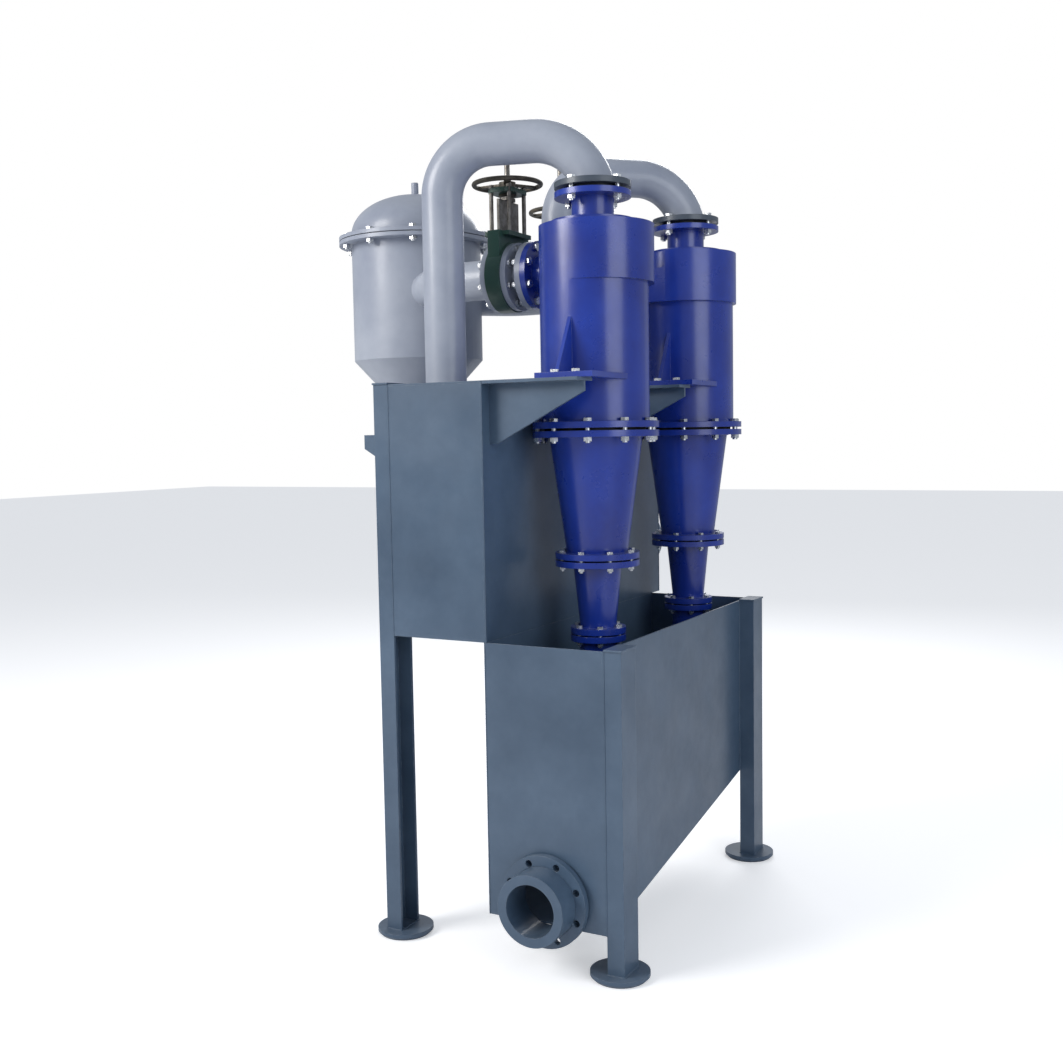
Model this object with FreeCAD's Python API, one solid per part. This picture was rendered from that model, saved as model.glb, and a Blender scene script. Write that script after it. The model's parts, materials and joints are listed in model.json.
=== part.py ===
"""Twin hydrocyclone set.

A feed distributor shares the slurry between two lined hydrocyclones.  Their overflow pipes bend over
into a closed tank, and their spigots discharge into an open trough with a sloping floor.  A knife gate
valve with a handwheel stands in each feed line.

Lengths are in millimetres.  While it is drawn, X = 0 is the tank wall that faces the cyclones, Y = 0 is
the front end of both tanks and Z = 0 is the floor.  At the end everything moves so that the origin is
the middle of the footprint, on the floor.
"""
import FreeCAD, Part
import math
import os
from collections import namedtuple
from FreeCAD import Placement, Rotation, Vector

# ---------------------------------------------------------------- driving dimensions
# tanks
plate = 6.0
deck_level = 981.0
tank_width = 340.0
tank_length = 1345.0
tank_height = 791.0
trough_width = 393.0
trough_length = 1276.0
trough_floor_front = 137.0
trough_floor_rear = 357.0

# legs of channel section, with round foot plates and cap plates
channel_web = 100.0
channel_flange = 55.0
channel_web_thickness = 5.5
channel_flange_thickness = 8.5
foot_diameter = 180.0
foot_thickness = 21.0
foot_chamfer = 9.0
foot_inset = 10.0
cap_thickness = 6.0
cap_overhang = 3.0

# trough outlet and tank discharge
outlet_level = 217.0
outlet_outer = 217.0
outlet_bore = 159.0
outlet_flange_diameter = 282.0
outlet_flange_thickness = 22.0
outlet_flange_gap = 8.0
outlet_reach = 82.0
outlet_bolt_circle = 240.0
outlet_bolts = 8
outlet_bolt_hole = 22.0
discharge_level = 1180.0
discharge_outer = 168.0
discharge_wall = 6.0
discharge_reach = 110.0

# cyclones: plan position, levels of the flanged joints, radii
cyclone_x = 205.0
cyclone_y = (358.0, 1140.0)
casing_wall = 8.0
body_radius = 171.0
body_top = 2256.0
roof_thickness = 8.0
body_joint = 1622.0
body_gap = 8.0
body_flange_diameter = 400.0
body_flange_thickness = 20.0
body_bolt_circle = 371.0
body_bolts = 10
cone_top_radius = 150.0
cone_bottom_radius = 95.0
cone_joint = 1212.0
cone_gap = 5.0
cone_flange_diameter = 268.0
cone_flange_thickness = 19.0
cone_bolt_circle = 234.0
cone_bolts = 8
lower_cone_top_radius = 79.0
lower_cone_bottom_radius = 55.5
foot_joint = 970.0
foot_gap = 4.0
foot_flange_diameter = 177.0
foot_flange_thickness = 20.0
foot_bolt_circle = 146.0
foot_bolts = 6
spigot_outer = 118.0
spigot_bore = 60.0
spigot_bottom = 850.0

# wear lining: chamber radii at the top, at the cone joint and at the foot
chamber_radius = 130.0
chamber_cone_radius = 64.0
chamber_foot_radius = 40.0
body_rim_radius = 160.0
cone_rim_radius = 102.0
foot_rim_radius = 61.0
lining_clearance = 0.3

# volute inlet
volute_bulge = 30.0
volute_drop = 60.0
duct_width = 120.0
duct_length = 60.0
duct_taper_length = 120.0
feed_level = 2135.0
feed_offset = 115.0
inlet_face_x = -65.0

# cyclone top: cover, vortex finder, overflow flange
cover_diameter = 266.0
cover_thickness = 14.0
finder_outer = 118.0
finder_bore = 100.0
finder_bottom = 2000.0
finder_collar = 210.0
finder_collar_thickness = 6.0
pipe_outer = 133.0
pipe_wall = 5.0
overflow_joint = 2364.0
overflow_gap = 12.0
overflow_flange_diameter = 240.0
overflow_flange_thickness = 18.0
overflow_bolt_circle = 200.0
overflow_bolts = 4
gasket_outer = 170.0

# overflow pipes
overflow_pipe_level = 2527.0
overflow_pipe_span = 486.0
overflow_pipe_swing = (17.1, 46.0)
flange_bend_radius = 195.0
tank_bend_radius = 160.0
pipe_dip = 45.0

# lugs on the cyclone bodies and the brackets that carry them
bracket_level = 1772.0
bracket_offset = 308.0
bracket_width = 100.0
bracket_reach = 320.0
bracket_plate = 10.0
bracket_root = 180.0
bracket_tip = 30.0
bracket_heel = 25.0
lug_thickness = 17.0
lug_left = -40.0
lug_right = 150.0
lug_outer = 328.0
lug_rib_height = 175.0
lug_rib_base = 95.0
lug_rib_thickness = 12.0
lug_bolt_x = (2.0, 72.0)
lug_bolt_inset = 47.0
cleat_start = 115.0
cleat_width = 65.0
cleat_reach = 64.0
cleat_root = 90.0
wall_lug_gap = 8.0

# feed distributor
vessel_x = -722.0
vessel_radius = 241.0
vessel_wall = 6.0
vessel_bottom = 1895.0
vessel_flange_diameter = 574.0
vessel_flange_thickness = 14.0
vessel_joint = 2337.5
vessel_gasket = 3.0
vessel_bolt_circle = 530.0
vessel_bolts = 10
dome_skirt = 10.0
dome_height = 148.0
vent_outer = 27.0
vent_wall = 3.0
vent_height = 47.0
vessel_cone_height = 172.0
vessel_inlet_outer = 168.0
vessel_inlet_reach = 104.0
shelf_thickness = 12.0
shelf_margin = 12.0
shelf_web_height = 350.0
shelf_tip_height = 40.0

# feed lines
feed_flange_diameter = 224.0
feed_flange_thickness = 20.0
feed_bolt_circle = 188.0
feed_bolts = 8
feed_bend_radius = 150.0
valve_x = (-166.0, -252.0)

# knife gate valve
valve_thickness = 56.0
valve_radius = 116.0
valve_bore = 100.0
valve_box_width = 200.0
valve_box_thickness = 44.0
valve_box_top = 2281.0
valve_top_flange = (92.0, 150.0)
valve_top_flange_thickness = 14.0
screw_depth = 18.0
gate_width = 130.0
gate_thickness = 9.0
gate_clearance = 0.5
gate_seat = 4.0
gate_lift = 1.0
gate_top = 2388.0
stem_foot = (26.0, 60.0, 12.0)
stem_diameter = 18.0
stem_top = 2625.0
rod_x = 34.0
rod_y = 50.0
rod_diameter = 14.0
yoke_level = 2410.0
yoke_size = (96.0, 132.0, 15.0)
yoke_corner = 22.0
wheel_level = 2443.0
wheel_diameter = 239.0
wheel_rim = 16.0
wheel_hub = 56.0
wheel_journal = 40.0
wheel_spokes = 3
spoke_angle = 60.0
spoke_width = 24.0
spoke_thickness = 7.0
running_clearance = 0.05
axial_clearance = 0.3
retainer_diameter = 60.0
retainer_thickness = 6.0
thread_lead = 5.0

# first bolt of each circle, counted from +X
body_bolt_angle = 0.0
cone_bolt_angle = 0.0
foot_bolt_angle = 0.0
overflow_bolt_angle = 75.0
vessel_bolt_angle = 13.4

# clearance of a pipe in a hole, and of a bolt in its hole
slip = 0.3
bolt_clearance = 1.0

Bolt = namedtuple("Bolt", "diameter across_flats head nut")
M10 = Bolt(10.0, 16.0, 6.4, 8.0)
M12 = Bolt(12.0, 18.0, 7.5, 10.0)
M16 = Bolt(16.0, 24.0, 10.0, 13.0)
thread_end = 5.0

# ---------------------------------------------------------------- derived levels
tank_top = deck_level + tank_height
gate_closed_bottom = feed_level - valve_bore / 2 - gate_seat
gate_open_bottom = feed_level + valve_bore / 2 + gate_lift
gate_travel = gate_open_bottom - gate_closed_bottom
pipe_radius = pipe_outer / 2
pipe_bore = pipe_radius - pipe_wall
chamber_top = feed_level - volute_drop + casing_wall
vessel_y = (cyclone_y[0] + feed_offset + cyclone_y[1] - feed_offset) / 2
UP = Vector(0, 0, 1)
ALONG_X = Vector(1, 0, 0)
FRONT = Vector(0, -1, 0)
REAR = Vector(0, 1, 0)


# ---------------------------------------------------------------- shape helpers
def box(x, y, z):
    """A block between pairs of X, Y and Z values."""
    size = [high - low for low, high in (x, y, z)]
    return Part.makeBox(*size, Vector(x[0], y[0], z[0]))


def facing(base, axis):
    """The placement that turns +Z to axis and moves the origin to base."""
    return Placement(Vector(*base), Rotation(UP, axis))


def rod(radius, length, base=(0, 0, 0), axis=UP):
    return Part.makeCylinder(radius, length, Vector(*base), axis)


def polygon(points):
    corners = [Vector(*point) for point in points]
    return Part.Face(Part.makePolygon(corners + corners[:1]))


def turned(points):
    """A solid of revolution about Z from (radius, height) corners."""
    profile = polygon([(radius, 0, height) for radius, height in points])
    return profile.revolve(Vector(0, 0, 0), UP, 360)


def prism_along_y(points, start, length):
    """(x, z) corners drawn out along Y."""
    return polygon([(x, start, z) for x, z in points]).extrude(Vector(0, length, 0))


def prism_along_x(points, start, length):
    """(y, z) corners drawn out along X."""
    return polygon([(start, y, z) for y, z in points]).extrude(Vector(length, 0, 0))


def prism_along_z(points, start, length):
    return polygon([(x, y, start) for x, y in points]).extrude(Vector(0, 0, length))


def fuse(shapes):
    first, *others = shapes
    return first.fuse(others).removeSplitter() if others else first


def moved(shape, x=0.0, y=0.0, z=0.0):
    copy = shape.copy()
    copy.translate(Vector(x, y, z))
    return copy


def bolt_circle(diameter, count, first_angle):
    """Plan positions on a bolt circle."""
    for number in range(count):
        angle = math.radians(first_angle + 360.0 * number / count)
        yield diameter / 2 * math.cos(angle), diameter / 2 * math.sin(angle)


def holes(spots, bolt, length, base=0.0):
    """Clearance holes for bolts at the given plan positions."""
    return [rod(bolt.diameter / 2 + bolt_clearance, length, (x, y, base)) for x, y in spots]


def hexagon(across_flats, height, base):
    corners = [(x, y) for x, y in bolt_circle(across_flats / math.cos(math.radians(30)), 6, 0)]
    return prism_along_z(corners, base, height)


def hex_bolt(bolt, grip, nut=True):
    """A bolt hanging down from the plane Z = 0, its head above, with its nut under the grip."""
    reach = grip + (bolt.nut + thread_end if nut else 0)
    shank = rod(bolt.diameter / 2, reach, (0, 0, -reach))
    pieces = [fuse([hexagon(bolt.across_flats, bolt.head, 0), shank])]
    if nut:
        blank = hexagon(bolt.across_flats, bolt.nut, -grip - bolt.nut)
        pieces.append(blank.cut(rod(bolt.diameter / 2, bolt.nut, (0, 0, -grip - bolt.nut))))
    return pieces


def bolts_at(spots, bolt, grip, top, nut=True):
    """Bolts with nuts at plan positions, heads on the plane Z = top."""
    return [moved(piece, x, y, top) for x, y in spots for piece in hex_bolt(bolt, grip, nut)]


def swept_pipe(path, radius):
    """A round bar along a tangent path of lines and arcs."""
    start = path.Edges[0]
    direction = start.tangentAt(start.FirstParameter)
    circle = Part.Circle(start.valueAt(start.FirstParameter), direction, radius)
    return path.makePipeShell([Part.Wire(circle.toShape())], True, True)


def bend(corner, before, after, radius):
    """The arc of a bend that rounds a corner between two directions, with its end points."""
    turn = before.getAngle(after)
    tangent = radius * math.tan(turn / 2)
    start, end = corner - before * tangent, corner + after * tangent
    inward = (after - before).normalize()
    middle = corner + inward * (radius / math.cos(turn / 2) - radius)
    return Part.Arc(start, middle, end).toShape(), start, end


def line(start, end):
    return Part.LineSegment(start, end).toShape()


# ---------------------------------------------------------------- tanks and stand
def overflow_tank():
    """Floor, two long walls and two end walls; the rear one has the discharge hole."""
    low, high = deck_level + plate, tank_top - plate
    floor = box((-tank_width, 0), (0, tank_length), (deck_level, low))
    walls = [box((x, x + plate), (0, tank_length), (low, high)) for x in (-tank_width, -plate)]
    ends = [box((plate - tank_width, -plate), (y, y + plate), (low, high)) for y in (0, tank_length - plate)]
    outlet = rod(discharge_outer / 2 + slip, 3 * plate, discharge_centre(-2 * plate), REAR)
    return [floor, *walls, ends[0], ends[1].cut(outlet)]


def tank_cover():
    cover = box((-tank_width, 0), (0, tank_length), (tank_top - plate, tank_top))
    return cover.cut([rod(pipe_radius + slip, 3 * plate, (x, y, tank_top - 2 * plate)) for x, y in drops()])


def trough_floor(y):
    """Level of the underside of the trough's sloping floor."""
    return trough_floor_front + (trough_floor_rear - trough_floor_front) * y / trough_length


def underflow_trough():
    """Two side plates, with the sloping floor and the end plates between them."""
    front, rear = 0, trough_length
    slope = math.atan2(trough_floor_rear - trough_floor_front, trough_length)
    lift = plate / math.cos(slope)
    inside = trough_width - plate
    outline = [(front, trough_floor(front)), (rear, trough_floor(rear)), (rear, deck_level), (front, deck_level)]
    sides = [prism_along_x(outline, x, plate) for x in (-plate, inside)]
    floor = prism_along_x([(front, trough_floor(front)), (rear, trough_floor(rear)),
                           (rear, trough_floor(rear) + lift), (front, trough_floor(front) + lift)], 0, inside)
    ends = [prism_along_x([(y, trough_floor(y) + lift), (y + plate, trough_floor(y + plate) + lift),
                           (y + plate, deck_level), (y, deck_level)], 0, inside)
            for y in (front, rear - plate)]
    outlet = rod(outlet_outer / 2 + slip, 2 * plate, (trough_width / 2, -plate, outlet_level), REAR)
    return sides + [floor.cut(outlet), ends[0].cut(outlet), ends[1]]


def leg(side, y, top):
    """A channel with its flanges pointing at the tank: side is -1 on the tank side, 1 on the trough side."""
    wall = -tank_width if side < 0 else trough_width
    out = wall + side * channel_flange
    web = out - side * channel_web_thickness
    t = channel_flange_thickness
    outline = [(wall, y), (out, y), (out, y + channel_web), (wall, y + channel_web),
               (wall, y + channel_web - t), (web, y + channel_web - t), (web, y + t), (wall, y + t)]
    return prism_along_z(outline, foot_thickness, top - foot_thickness)


def leg_places():
    """Name, side, front edge and top of the channel for each leg."""
    tank_rear = tank_length - channel_web
    trough_rear = trough_length - channel_web
    return [("leg_front_left", -1, 0, tank_top), ("leg_rear_left", -1, tank_rear, tank_top),
            ("leg_front_right", 1, 0, deck_level), ("leg_rear_right", 1, trough_rear, deck_level)]


def leg_centre(side, y):
    wall = -tank_width if side < 0 else trough_width
    return wall + side * channel_flange / 2, y + channel_web / 2


def foot_plate(side, y):
    """A round plate with its lower edge bevelled."""
    radius = foot_diameter / 2
    x, centre_y = leg_centre(side, y)
    disc = turned([(0, 0), (radius - foot_chamfer, 0), (radius, foot_chamfer),
                   (radius, foot_thickness), (0, foot_thickness)])
    return moved(disc, x - side * foot_inset, centre_y)


def leg_cap(side, y, top):
    wall = -tank_width if side < 0 else trough_width
    ends = sorted((wall, wall + side * (channel_flange + cap_overhang)))
    return box(ends, (y - cap_overhang, y + channel_web + cap_overhang), (top, top + cap_thickness))


def outlet_flange():
    """Plate flange behind the outlet's thick end, its holes straddling the centre line."""
    spots = list(bolt_circle(outlet_bolt_circle, outlet_bolts, 180.0 / outlet_bolts))
    disc = rod(outlet_flange_diameter / 2, outlet_flange_thickness)
    cuts = [rod(outlet_bolt_hole / 2, outlet_flange_thickness, (x, y, 0)) for x, y in spots]
    ring = disc.cut([rod(outlet_outer / 2 + slip, outlet_flange_thickness)] + cuts)
    ring.Placement = facing((trough_width / 2, -outlet_flange_gap, outlet_level), FRONT)
    return ring


def outlet_pipe():
    length = plate + outlet_flange_gap + outlet_flange_thickness + outlet_reach
    sleeve = rod(outlet_outer / 2, length).cut(rod(outlet_bore / 2, length))
    sleeve.Placement = facing((trough_width / 2, plate, outlet_level), FRONT)
    return sleeve


def discharge_centre(offset):
    return (-tank_width / 2, tank_length + offset, discharge_level)


def discharge_nozzle():
    """Stub and flange on the rear end of the overflow tank."""
    radius = discharge_outer / 2
    pipe = rod(radius, discharge_reach + plate)
    disc = rod(outlet_flange_diameter / 2, outlet_flange_thickness,
               (0, 0, discharge_reach + plate - outlet_flange_thickness))
    spots = bolt_circle(outlet_bolt_circle, outlet_bolts, 180.0 / outlet_bolts)
    cuts = [rod(outlet_bolt_hole / 2, discharge_reach + plate, (x, y, 0)) for x, y in spots]
    nozzle = fuse([pipe, disc]).cut([rod(radius - discharge_wall, discharge_reach + plate)] + cuts)
    nozzle.Placement = facing(discharge_centre(-plate), REAR)
    return nozzle


# ---------------------------------------------------------------- cyclone, drawn about the Z axis
def casing(low, low_radius, high, high_radius, flange_low, flange_high):
    """A tapered tube with a flange of (diameter, thickness) at each end."""
    def outside(z):
        return low_radius + (high_radius - low_radius) * (z - low) / (high - low)
    under, over = low + flange_low[1], high - flange_high[1]
    return turned([(low_radius - casing_wall, low), (flange_low[0] / 2, low), (flange_low[0] / 2, under),
                   (outside(under), under), (outside(over), over), (flange_high[0] / 2, over),
                   (flange_high[0] / 2, high), (high_radius - casing_wall, high)])


def lining(low, high, outer, inner, rim_low, rim_high):
    """A wear liner: outer and inner radii at the low and the high end, with rims of (radius, thickness)."""
    return turned([(inner[0], low - rim_low[1]), (rim_low[0], low - rim_low[1]), (rim_low[0], low),
                   (outer[0], low), (outer[1], high), (rim_high[0], high),
                   (rim_high[0], high + rim_high[1]), (inner[1], high + rim_high[1])])


def volute(offset, low, high):
    """The half of the spiral that swells past the body, its radius falling away from the inlet side."""
    steps = 12
    points = []
    for step in range(steps + 1):
        angle = math.pi * (0.5 - step / steps)
        radius = body_radius + volute_bulge * (1 - step / steps) - offset
        points.append(Vector(radius * math.cos(angle), radius * math.sin(angle), low))
    spiral = Part.BSplineCurve()
    spiral.interpolate(points)
    outline = Part.Wire([spiral.toShape(), line(points[-1], points[0])])
    return Part.Face(outline).extrude(Vector(0, 0, high - low))


def inlet_duct(offset, flange_face):
    """Feed inlet from its round flange end to the square mouth of the volute."""
    mouth_high = body_radius + volute_bulge - offset
    mouth_low = body_radius + volute_bulge - duct_width + offset
    floor, ceiling = feed_level - volute_drop + offset, feed_level + volute_drop - offset
    corners = [Vector(-duct_length, y, z) for y, z in
               ((mouth_low, floor), (mouth_high, floor), (mouth_high, ceiling), (mouth_low, ceiling))]
    mouth = Part.makePolygon(corners + corners[:1])
    throat = -duct_length - duct_taper_length
    radius = pipe_radius - offset * pipe_wall / casing_wall
    circle = Part.Circle(Vector(throat, feed_offset, feed_level), ALONG_X, radius)
    taper = Part.makeLoft([Part.Wire(circle.toShape()), mouth], True)
    square = box((-duct_length, 0), (mouth_low, mouth_high), (floor, ceiling))
    pipe = rod(radius, throat - flange_face, (flange_face, feed_offset, feed_level), ALONG_X)
    return [square, taper, pipe]


def feed_flange(face_x, y, spots_cut):
    """A feed line flange whose disc runs from face_x towards +X."""
    disc = rod(feed_flange_diameter / 2, feed_flange_thickness).cut(spots_cut)
    disc.Placement = facing((face_x, y, feed_level), ALONG_X)
    return disc


def feed_spots():
    """Bolt places of a feed flange, straddling the centre line; its local X points down."""
    return list(bolt_circle(feed_bolt_circle, feed_bolts, 180.0 / feed_bolts))


def over_gate(spot):
    """True where a bolt place lies above the bore, in the way of the gate."""
    down, across = spot
    return down < 0 and abs(across) < gate_width / 2


def head(mirrored):
    """Feed head: flanged barrel with a volute, a roof and a tangential inlet."""
    low = body_joint + body_gap / 2
    ceiling = body_top - roof_thickness
    inner = body_radius - casing_wall
    flange = body_flange_diameter / 2
    barrel = turned([(0, low), (flange, low), (flange, low + body_flange_thickness),
                     (body_radius, low + body_flange_thickness), (body_radius, body_top), (0, body_top)])
    hollow = [rod(inner, ceiling - low, (0, 0, low)),
              rod(finder_outer / 2 + slip, 2 * roof_thickness, (0, 0, ceiling - slip)),
              volute(casing_wall, feed_level - volute_drop + casing_wall, ceiling)]
    face = inlet_face_x - cyclone_x
    disc = feed_flange(face, feed_offset, holes(feed_spots(), M16, feed_flange_thickness))
    solid = fuse([barrel, volute(0, feed_level - volute_drop, body_top)] + inlet_duct(0, face) + [disc])
    solid = solid.cut(hollow + inlet_duct(casing_wall, face - slip))
    solid = solid.cut(holes(body_spots(), M16, body_flange_thickness, low))
    if mirrored:
        solid = solid.mirror(Vector(0, 0, 0), REAR)
    return solid


def front_lug():
    """Foot plate with an upright rib that stands on the front bracket."""
    plate_top = bracket_level + lug_thickness
    seat = box((lug_left, lug_right), (-lug_outer, 0), (bracket_level, plate_top))
    rib_low = -body_radius - lug_rib_base
    outline = [(rib_low, plate_top), (0, plate_top), (0, plate_top + lug_rib_height),
               (-body_radius, plate_top + lug_rib_height)]
    rib = prism_along_x(outline, -lug_rib_thickness / 2, lug_rib_thickness)
    cuts = holes([(x, -lug_outer + lug_bolt_inset) for x in lug_bolt_x], M16, lug_thickness, bracket_level)
    return fuse([seat, rib]).cut(cuts)


def rear_lug():
    """Short plate beside the tank wall, on the rear cleat."""
    left = wall_lug_gap - cyclone_x
    spot = (cleat_reach / 2 + wall_lug_gap / 2 - cyclone_x, cleat_start + cleat_width / 2)
    seat = box((left, 0), (cleat_start, cleat_start + cleat_width - wall_lug_gap),
               (bracket_level, bracket_level + lug_thickness))
    return seat.cut(holes([spot], M16, lug_thickness, bracket_level))


def cyclone_head(mirrored):
    """The feed head with its two support lugs."""
    core = rod(body_radius - casing_wall / 2, body_top - bracket_level, (0, 0, bracket_level - body_gap))
    lugs = [lug.cut(core) for lug in (front_lug(), rear_lug())]
    return fuse([head(mirrored)] + lugs)


def body_spots():
    return list(bolt_circle(body_bolt_circle, body_bolts, body_bolt_angle))


def cone_spots():
    return list(bolt_circle(cone_bolt_circle, cone_bolts, cone_bolt_angle))


def foot_spots():
    return list(bolt_circle(foot_bolt_circle, foot_bolts, foot_bolt_angle))


def overflow_spots():
    return list(bolt_circle(overflow_bolt_circle, overflow_bolts, overflow_bolt_angle))


def head_liner():
    """Straight liner under the volute; its rim fills the upper half of the body joint."""
    low = body_joint + body_gap / 2
    outer = body_radius - casing_wall - lining_clearance
    return turned([(chamber_radius, body_joint), (body_rim_radius, body_joint), (body_rim_radius, low),
                   (outer, low), (outer, chamber_top), (chamber_radius, chamber_top)])


def upper_cone():
    low, high = cone_joint + cone_gap / 2, body_joint - body_gap / 2
    cone = casing(low, cone_bottom_radius, high, cone_top_radius,
                  (cone_flange_diameter, cone_flange_thickness),
                  (body_flange_diameter, body_flange_thickness))
    cuts = holes(body_spots(), M16, body_flange_thickness, high - body_flange_thickness)
    return cone.cut(cuts + holes(cone_spots(), M12, cone_flange_thickness, low))


def upper_cone_liner():
    low, high = cone_joint + cone_gap / 2, body_joint - body_gap / 2
    skin = casing_wall + lining_clearance
    return lining(low, high, (cone_bottom_radius - skin, cone_top_radius - skin),
                  (chamber_cone_radius, chamber_radius),
                  (cone_rim_radius, cone_gap / 2), (body_rim_radius, body_gap / 2))


def lower_cone():
    low, high = foot_joint + foot_gap, cone_joint - cone_gap / 2
    cone = casing(low, lower_cone_bottom_radius, high, lower_cone_top_radius,
                  (foot_flange_diameter, foot_flange_thickness),
                  (cone_flange_diameter, cone_flange_thickness))
    cuts = holes(cone_spots(), M12, cone_flange_thickness, high - cone_flange_thickness)
    return cone.cut(cuts + holes(foot_spots(), M12, foot_flange_thickness, low))


def lower_cone_liner():
    """Liner of the lower cone; its lower rim fills the whole foot joint."""
    low, high = foot_joint + foot_gap, cone_joint - cone_gap / 2
    skin = casing_wall + lining_clearance
    return lining(low, high, (lower_cone_bottom_radius - skin, lower_cone_top_radius - skin),
                  (chamber_foot_radius, chamber_cone_radius),
                  (foot_rim_radius, foot_gap), (cone_rim_radius, cone_gap / 2))


def spigot():
    """Apex nozzle that ends inside the trough."""
    flange, tube, bore = foot_flange_diameter / 2, spigot_outer / 2, spigot_bore / 2
    under = foot_joint - foot_flange_thickness
    nozzle = turned([(bore, spigot_bottom), (tube, spigot_bottom), (tube, under), (flange, under),
                     (flange, foot_joint), (chamber_foot_radius, foot_joint),
                     (bore, under - chamber_foot_radius)])
    return nozzle.cut(holes(foot_spots(), M12, foot_flange_thickness, under))


def vortex_finder():
    """Overflow tube inside the chamber, hung by its collar between the roof and the cover."""
    outer, bore, collar = finder_outer / 2, finder_bore / 2, finder_collar / 2
    return turned([(bore, finder_bottom), (outer, finder_bottom), (outer, body_top), (collar, body_top),
                   (collar, body_top + finder_collar_thickness), (bore, body_top + finder_collar_thickness)])


def top_cover():
    """Cover ring with the overflow neck and its flange."""
    recess = finder_collar / 2 + slip
    shelf, top = body_top + finder_collar_thickness, body_top + cover_thickness
    flange_top = overflow_joint - overflow_gap / 2
    flange_low, flange = flange_top - overflow_flange_thickness, overflow_flange_diameter / 2
    neck = turned([(pipe_bore, shelf), (recess, shelf), (recess, body_top), (cover_diameter / 2, body_top),
                   (cover_diameter / 2, top), (pipe_radius, top), (pipe_radius, flange_low),
                   (flange, flange_low), (flange, flange_top), (pipe_bore, flange_top)])
    return neck.cut(holes(overflow_spots(), M16, overflow_flange_thickness, flange_low))


def overflow_gasket():
    ring = rod(gasket_outer / 2, overflow_gap, (0, 0, overflow_joint - overflow_gap / 2))
    return ring.cut(rod(pipe_bore, 2 * overflow_gap, (0, 0, overflow_joint - overflow_gap)))


def overflow_flange():
    low = overflow_joint + overflow_gap / 2
    disc = rod(overflow_flange_diameter / 2, overflow_flange_thickness, (0, 0, low))
    cuts = holes(overflow_spots(), M16, overflow_flange_thickness, low)
    return disc.cut([rod(pipe_bore, overflow_flange_thickness, (0, 0, low))] + cuts)


def flange_bolts(spots, bolt, joint, gap, thickness):
    """Bolts through two flanges that meet at a joint level."""
    grip = gap + 2 * thickness
    return bolts_at(spots, bolt, grip, joint + gap / 2 + thickness)


def body_bolt_set():
    return flange_bolts(body_spots(), M16, body_joint, body_gap, body_flange_thickness)


def cone_bolt_set():
    cone = flange_bolts(cone_spots(), M12, cone_joint, cone_gap, cone_flange_thickness)
    foot_middle = foot_joint + foot_gap / 2
    return cone + flange_bolts(foot_spots(), M12, foot_middle, foot_gap, foot_flange_thickness)


def overflow_bolt_set():
    return flange_bolts(overflow_spots(), M16, overflow_joint, overflow_gap, overflow_flange_thickness)


def lug_bolt_set():
    """Bolts through the lugs and the bracket plates, heads on the lugs."""
    front = [(x, -lug_outer + lug_bolt_inset) for x in lug_bolt_x]
    rear = [(cleat_reach / 2 + wall_lug_gap / 2 - cyclone_x, cleat_start + cleat_width / 2)]
    top = bracket_level + lug_thickness
    return bolts_at(front + rear, M16, lug_thickness + bracket_plate, top)


# ---------------------------------------------------------------- overflow pipes
def drops():
    """Plan position of each overflow pipe's leg into the tank."""
    for y, swing in zip(cyclone_y, overflow_pipe_swing):
        angle = math.radians(swing)
        yield cyclone_x - overflow_pipe_span * math.cos(angle), y - overflow_pipe_span * math.sin(angle)


def overflow_pipe(start, end):
    """Bend off the cyclone's flange, a level run, and a bend down into the tank."""
    flange_top = overflow_joint + overflow_gap / 2 + overflow_flange_thickness
    centre_level = overflow_pipe_level - flange_bend_radius
    rise = math.asin((flange_top - centre_level) / flange_bend_radius)
    away = Vector(end[0] - start[0], end[1] - start[1], 0).normalize()
    hub = Vector(*start, centre_level) + away * (flange_bend_radius * math.cos(rise))

    def on_bend(angle):
        return hub + (UP * math.sin(angle) - away * math.cos(angle)) * flange_bend_radius

    low = rise / 2
    crown = on_bend(math.pi / 2)
    corner = Vector(*end, overflow_pipe_level)
    second, run_end, leg_start = bend(corner, away, -UP, tank_bend_radius)
    bottom = Vector(*end, tank_top - pipe_dip)
    first = Part.Arc(on_bend(low), on_bend((low + math.pi / 2) / 2), crown).toShape()
    path = Part.Wire([first, line(crown, run_end), second, line(leg_start, bottom)])
    pipe = swept_pipe(path, pipe_radius).cut(swept_pipe(path, pipe_bore))
    reach = 2 * pipe_outer
    trim = box((start[0] - reach, start[0] + reach), (start[1] - reach, start[1] + reach),
               (flange_top - reach, flange_top))
    return pipe.cut(trim)


# ---------------------------------------------------------------- brackets
def front_bracket(y):
    """Top plate with a tapered web below its middle, welded to the tank."""
    under = bracket_level - bracket_plate
    low = bracket_level - bracket_root - bracket_plate
    outline = [(0, under), (bracket_reach, under), (bracket_reach, under - bracket_tip),
               (bracket_heel, low), (0, low)]
    web = prism_along_y(outline, y - bracket_plate / 2, bracket_plate)
    top = box((0, bracket_reach), (y - bracket_width / 2, y + bracket_width / 2), (under, bracket_level))
    return [top, web]


def cyclone_front_bracket(y):
    spots = [(cyclone_x + x, y - lug_outer + lug_bolt_inset) for x in lug_bolt_x]
    pieces = fuse(front_bracket(y - bracket_offset))
    return pieces.cut(holes(spots, M16, bracket_plate, bracket_level - bracket_plate))


def cyclone_rear_bracket(y):
    """Cleat on the tank wall under the rear lug."""
    under = bracket_level - bracket_plate
    start, end = y + cleat_start, y + cleat_start + cleat_width
    top = box((0, cleat_reach), (start, end), (under, bracket_level))
    web = prism_along_y([(0, under), (cleat_reach, under), (0, under - cleat_root)],
                        end - bracket_plate, bracket_plate)
    spot = (cleat_reach / 2 + wall_lug_gap / 2, start + cleat_width / 2)
    return fuse([top, web]).cut(holes([spot], M16, bracket_plate, under))


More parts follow.
